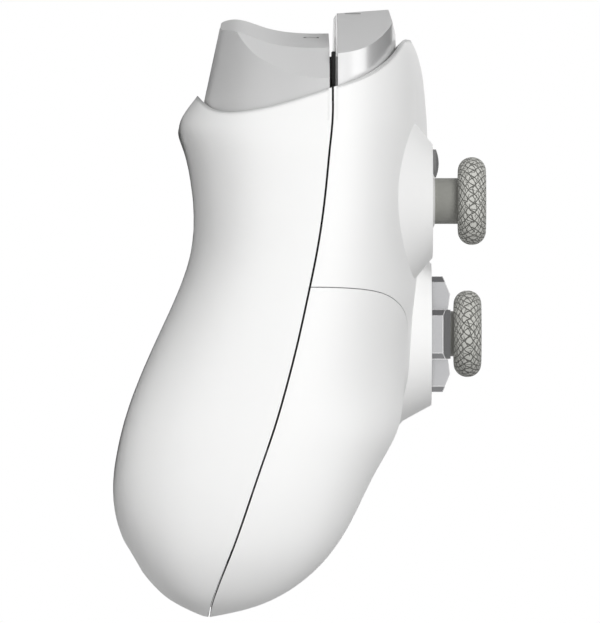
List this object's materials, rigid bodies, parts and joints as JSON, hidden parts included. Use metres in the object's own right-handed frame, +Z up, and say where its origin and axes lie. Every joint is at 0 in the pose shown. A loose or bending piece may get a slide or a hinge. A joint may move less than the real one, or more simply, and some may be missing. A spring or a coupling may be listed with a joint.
{
  "type": "wireless gamepad",
  "caption": "Handheld game controller with thumb sticks on gimbals, a cross-shaped pad, face buttons, hinged shoulder buttons and triggers, and split grips.",
  "frame": {"origin": "under the middle of the bounding box, on the surface that the gamepad lies on", "axes": "+X to the player's right, +Y towards the triggers, +Z up, out of the face; the face leans back by about 11 degrees, as the pad lies on its grips and the lips behind its triggers"},
  "size_m": [0.153, 0.1084, 0.0597],
  "materials": {
    "shell": "satin",
    "grip_cover": "satin",
    "steel": "drawn",
    "stick_rubber": "matte",
    "stick_body": "matte",
    "stick_dome": "satin",
    "gimbal": "matte",
    "sensor": "matte",
    "pad_metal": "bright",
    "face_button": "gloss",
    "small_button": "satin",
    "home_button": "gloss",
    "membrane": "matte",
    "switch": "matte",
    "trigger_plastic": "satin",
    "bumper_gloss": "gloss",
    "bridge_gloss": "gloss",
    "board": "satin",
    "carrier": "matte",
    "cell": "satin",
    "jack_black": "satin"
  },
  "bodies": {
    "body": {"front_shell": "shell", "rear_shell": "shell", "left_grip_cover": "grip_cover", "right_grip_cover": "grip_cover", "shell_screws": "steel", "bumper_pins": "steel", "left_trigger_pin": "steel", "right_trigger_pin": "steel", "left_trigger_spring": "steel", "right_trigger_spring": "steel", "left_rumble_motor": "steel", "right_rumble_motor": "steel", "charging_port": "steel", "left_stick_housing": "steel", "right_stick_housing": "steel", "dpad_post": "gimbal", "left_stick_sensors": "sensor", "right_stick_sensors": "sensor", "button_membrane": "membrane", "button_switches": "switch", "bumper_bridge": "bridge_gloss", "main_board": "board", "port_board": "board", "left_bumper_board": "board", "right_bumper_board": "board", "chassis": "carrier", "battery": "cell", "headset_jack": "jack_black"},
    "left_trigger": {"left_trigger": "trigger_plastic"},
    "left_bumper": {"left_bumper": "bumper_gloss"},
    "left_rumble_weight": {"left_rumble_weight": "steel"},
    "right_trigger": {"right_trigger": "trigger_plastic"},
    "right_bumper": {"right_bumper": "bumper_gloss"},
    "right_rumble_weight": {"right_rumble_weight": "steel"},
    "left_yoke": {"left_stick_yoke": "gimbal"},
    "left_hub": {"left_stick_hub": "gimbal"},
    "left_stick": {"left_stick_grip": "stick_rubber", "left_stick_neck": "stick_body", "left_stick_dome": "stick_dome", "left_stick_lever": "steel"},
    "left_bail": {"left_stick_bail": "gimbal"},
    "right_yoke": {"right_stick_yoke": "gimbal"},
    "right_hub": {"right_stick_hub": "gimbal"},
    "right_stick": {"right_stick_grip": "stick_rubber", "right_stick_neck": "stick_body", "right_stick_dome": "stick_dome", "right_stick_lever": "steel"},
    "right_bail": {"right_stick_bail": "gimbal"},
    "pad_rocker": {"dpad_rocker": "gimbal"},
    "pad": {"dpad": "pad_metal", "dpad_disc": "gimbal"},
    "face_button_1": {"face_button_1": "face_button"},
    "face_button_2": {"face_button_2": "face_button"},
    "face_button_3": {"face_button_3": "face_button"},
    "face_button_4": {"face_button_4": "face_button"},
    "view_button": {"view_button": "small_button"},
    "menu_button": {"menu_button": "small_button"},
    "home_button": {"home_button": "home_button"},
    "share_button": {"share_button": "small_button"}
  },
  "joints": [
    {"name": "left_trigger_pull", "type": "hinge", "parent": "body", "child": "left_trigger", "pos_m": [-0.0355, 0.03443, 0.02943], "axis": [-1, 0, 0], "range_deg": [0, 15], "stiffness_Nm_per_rad": 0.15, "springref_deg": -11.46},
    {"name": "left_bumper_press", "type": "hinge", "parent": "body", "child": "left_bumper", "pos_m": [-0.02, 0.04492, 0.02894], "axis": [0, 0.189, 0.982], "range_deg": [0, 1.6], "stiffness_Nm_per_rad": 2, "springref_deg": -0.57},
    {"name": "left_rumble_spin", "type": "hinge", "parent": "body", "child": "left_rumble_weight", "pos_m": [-0.06, -0.02738, 0.02045], "axis": [1, 0, 0], "continuous": true},
    {"name": "right_trigger_pull", "type": "hinge", "parent": "body", "child": "right_trigger", "pos_m": [0.0355, 0.03443, 0.02943], "axis": [-1, 0, 0], "range_deg": [0, 15], "stiffness_Nm_per_rad": 0.15, "springref_deg": -11.46},
    {"name": "right_bumper_press", "type": "hinge", "parent": "body", "child": "right_bumper", "pos_m": [0.02, 0.04492, 0.02894], "axis": [0, -0.189, -0.982], "range_deg": [0, 1.6], "stiffness_Nm_per_rad": 2, "springref_deg": -0.57},
    {"name": "right_rumble_spin", "type": "hinge", "parent": "body", "child": "right_rumble_weight", "pos_m": [0.06, -0.02738, 0.02045], "axis": [1, 0, 0], "continuous": true},
    {"name": "left_stick_tilt_y", "type": "hinge", "parent": "body", "child": "left_yoke", "pos_m": [-0.0385, 0.02125, 0.03502], "axis": [1, 0, 0], "range_deg": [-15, 15], "stiffness_Nm_per_rad": 0.03},
    {"name": "left_stick_tilt_x", "type": "hinge", "parent": "left_yoke", "child": "left_hub", "pos_m": [-0.0385, 0.02125, 0.03502], "axis": [0, 0.982, -0.189], "range_deg": [-15, 15], "stiffness_Nm_per_rad": 0.03},
    {"name": "left_stick_click", "type": "slide", "parent": "left_hub", "child": "left_stick", "axis": [0, -0.189, -0.982], "range_m": [0, 0.0005], "stiffness_N_per_m": 1000, "springref_m": -0.0004},
    {"name": "left_bail_turn", "type": "hinge", "parent": "body", "child": "left_bail", "pos_m": [-0.0385, 0.02125, 0.03502], "axis": [0, 0.982, -0.189], "range_deg": [-15, 15]},
    {"name": "right_stick_tilt_y", "type": "hinge", "parent": "body", "child": "right_yoke", "pos_m": [0.0195, -0.00134, 0.03937], "axis": [1, 0, 0], "range_deg": [-15, 15], "stiffness_Nm_per_rad": 0.03},
    {"name": "right_stick_tilt_x", "type": "hinge", "parent": "right_yoke", "child": "right_hub", "pos_m": [0.0195, -0.00134, 0.03937], "axis": [0, 0.982, -0.189], "range_deg": [-15, 15], "stiffness_Nm_per_rad": 0.03},
    {"name": "right_stick_click", "type": "slide", "parent": "right_hub", "child": "right_stick", "axis": [0, -0.189, -0.982], "range_m": [0, 0.0005], "stiffness_N_per_m": 1000, "springref_m": -0.0004},
    {"name": "right_bail_turn", "type": "hinge", "parent": "body", "child": "right_bail", "pos_m": [0.0195, -0.00134, 0.03937], "axis": [0, 0.982, -0.189], "range_deg": [-15, 15]},
    {"name": "pad_tilt_y", "type": "hinge", "parent": "body", "child": "pad_rocker", "pos_m": [-0.0195, -0.00068, 0.04281], "axis": [1, 0, 0], "range_deg": [-4, 4], "stiffness_Nm_per_rad": 0.05},
    {"name": "pad_tilt_x", "type": "hinge", "parent": "pad_rocker", "child": "pad", "pos_m": [-0.0195, -0.00068, 0.04281], "axis": [0, 0.982, -0.189], "range_deg": [-4, 4], "stiffness_Nm_per_rad": 0.05},
    {"name": "face_button_1_press", "type": "slide", "parent": "body", "child": "face_button_1", "axis": [0, -0.189, -0.982], "range_m": [0, 0.0012], "stiffness_N_per_m": 400, "springref_m": -0.0005},
    {"name": "face_button_2_press", "type": "slide", "parent": "body", "child": "face_button_2", "axis": [0, -0.189, -0.982], "range_m": [0, 0.0012], "stiffness_N_per_m": 400, "springref_m": -0.0005},
    {"name": "face_button_3_press", "type": "slide", "parent": "body", "child": "face_button_3", "axis": [0, -0.189, -0.982], "range_m": [0, 0.0012], "stiffness_N_per_m": 400, "springref_m": -0.0005},
    {"name": "face_button_4_press", "type": "slide", "parent": "body", "child": "face_button_4", "axis": [0, -0.189, -0.982], "range_m": [0, 0.0012], "stiffness_N_per_m": 400, "springref_m": -0.0005},
    {"name": "view_button_press", "type": "slide", "parent": "body", "child": "view_button", "axis": [0, -0.189, -0.982], "range_m": [0, 0.0005], "stiffness_N_per_m": 1000, "springref_m": -0.0004},
    {"name": "menu_button_press", "type": "slide", "parent": "body", "child": "menu_button", "axis": [0, -0.189, -0.982], "range_m": [0, 0.0005], "stiffness_N_per_m": 1000, "springref_m": -0.0004},
    {"name": "home_button_press", "type": "slide", "parent": "body", "child": "home_button", "axis": [0, -0.189, -0.982], "range_m": [0, 0.0005], "stiffness_N_per_m": 1000, "springref_m": -0.0004},
    {"name": "share_button_press", "type": "slide", "parent": "body", "child": "share_button", "axis": [0, -0.189, -0.982], "range_m": [0, 0.0005], "stiffness_N_per_m": 1000, "springref_m": -0.0004}
  ],
  "couplings": [
    {"joint": "left_bail_turn", "follows": "left_stick_tilt_x", "ratio": 1},
    {"joint": "right_bail_turn", "follows": "right_stick_tilt_x", "ratio": 1}
  ]
}
